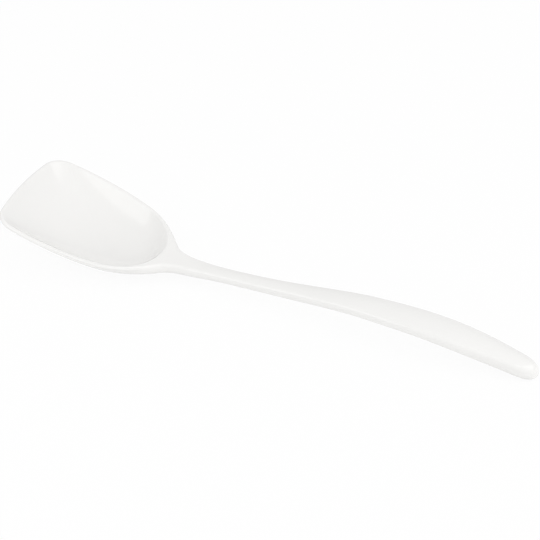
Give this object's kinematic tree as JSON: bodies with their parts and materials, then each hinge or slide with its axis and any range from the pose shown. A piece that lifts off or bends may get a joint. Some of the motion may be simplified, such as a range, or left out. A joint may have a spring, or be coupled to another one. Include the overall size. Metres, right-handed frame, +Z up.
{
  "type": "cooking spoon",
  "caption": "Moulded cooking spoon with a flat-fronted scooping bowl, a narrow neck and an arched handle that widens to a grip, for stirring, scraping and serving.",
  "frame": {"origin": "centre of the bounding box's bottom face, on the table that the spoon lies on", "axes": "+X along the spoon from the bowl's lip to the handle's end, +Y across it, +Z up from the table"},
  "size_m": [0.305, 0.0706, 0.0294],
  "materials": {
    "moulding": "glossy white moulded melamine"
  },
  "bodies": {
    "root": {"bowl": "moulding", "neck": "moulding", "handle": "moulding"}
  },
  "joints": []
}
